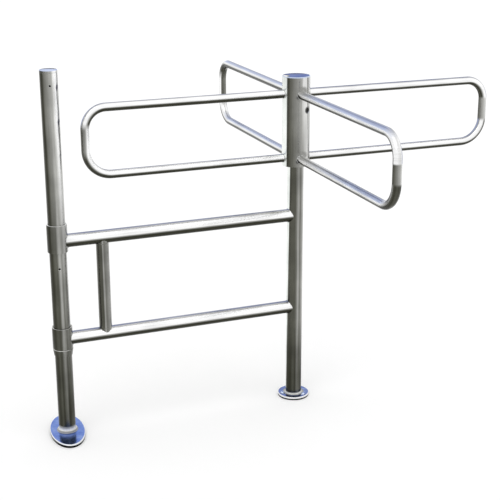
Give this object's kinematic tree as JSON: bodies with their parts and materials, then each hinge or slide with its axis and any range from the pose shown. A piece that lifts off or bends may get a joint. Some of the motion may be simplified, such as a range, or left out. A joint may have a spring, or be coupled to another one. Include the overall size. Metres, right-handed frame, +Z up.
{
  "type": "waist-high turnstile",
  "caption": "Waist-high turnstile: a turning tubular head with bent loop arms on a post, joined by two rails to a taller guide post on an oval foot.",
  "frame": {"origin": "on the floor under the turning head's axis, at the centre of the floor flange's underside", "axes": "+Z up along the turning axis; the guide rails and guide post lie towards -X; the front faces -Y"},
  "size_m": [1.4752, 1.3374, 1.115],
  "materials": {
    "polished_steel": "mirror polished stainless steel",
    "plate_steel": "bright polished stainless steel plate",
    "bolt_steel": "bright zinc plated steel",
    "tool_steel": "turned steel",
    "spring_steel": "spring wire",
    "brass": "turned brass",
    "black_lock": "black lacquer",
    "acetal": "white acetal"
  },
  "bodies": {
    "frame": {"turnstile_flange": "plate_steel", "foot_cover": "plate_steel", "turnstile_post": "polished_steel", "guide_post": "polished_steel", "guide_post_cap": "polished_steel", "foot_plate": "polished_steel", "upper_sleeve": "polished_steel", "lower_sleeve": "polished_steel", "support_collar": "polished_steel", "upper_rail": "polished_steel", "lower_rail": "polished_steel", "baluster": "polished_steel", "flange_bolt_1": "bolt_steel", "flange_bolt_2": "bolt_steel", "flange_bolt_3": "bolt_steel", "foot_bolt_front": "bolt_steel", "foot_bolt_rear": "bolt_steel", "upper_sleeve_screw": "bolt_steel", "lower_sleeve_screw": "bolt_steel", "collar_screw": "bolt_steel", "spindle_washer": "bolt_steel", "spindle_nut": "bolt_steel", "spindle": "tool_steel", "ratchet_wheel": "tool_steel", "ratchet_key": "tool_steel", "thrust_washer": "brass"},
    "head": {"head_shell": "polished_steel", "arm_right": "polished_steel", "arm_rear": "polished_steel", "arm_left": "polished_steel", "arm_front": "polished_steel", "lock_barrel": "polished_steel", "head_cap": "plate_steel", "lower_bush": "acetal", "upper_bush": "acetal", "bearing_plate": "tool_steel", "pawl_pin_1": "bolt_steel", "pawl_pin_2": "bolt_steel", "pawl_clip_1": "spring_steel", "pawl_clip_2": "spring_steel", "pawl_spring_1": "spring_steel", "pawl_spring_2": "spring_steel", "lock_spring": "spring_steel", "lock_nut": "brass"},
    "pawl_1": {"pawl_1": "tool_steel"},
    "pawl_2": {"pawl_2": "tool_steel"},
    "lock_plunger": {"lock_plunger": "black_lock"}
  },
  "joints": [
    {"name": "head_turn", "type": "hinge", "parent": "frame", "child": "head", "pos_m": [0, 0, 0.806], "axis": [0, 0, 1], "continuous": true},
    {"name": "pawl_1_lift", "type": "hinge", "parent": "head", "child": "pawl_1", "pos_m": [0.01527, 0.02755, 1.0013], "axis": [0, 0, 1], "range_deg": [0, 16], "stiffness_Nm_per_rad": 0.02, "springref_deg": -17.19, "deforming": ["pawl_spring_1"]},
    {"name": "pawl_2_lift", "type": "hinge", "parent": "head", "child": "pawl_2", "pos_m": [-0.01527, -0.02755, 1.0013], "axis": [0, 0, 1], "range_deg": [0, 16], "stiffness_Nm_per_rad": 0.02, "springref_deg": -17.19, "deforming": ["pawl_spring_2"]},
    {"name": "lock_slide", "type": "slide", "parent": "head", "child": "lock_plunger", "axis": [-0.5225, 0.8526, 0], "range_m": [0, 0.0065], "stiffness_N_per_m": 150, "springref_m": -0.004, "deforming": ["lock_spring"]}
  ]
}
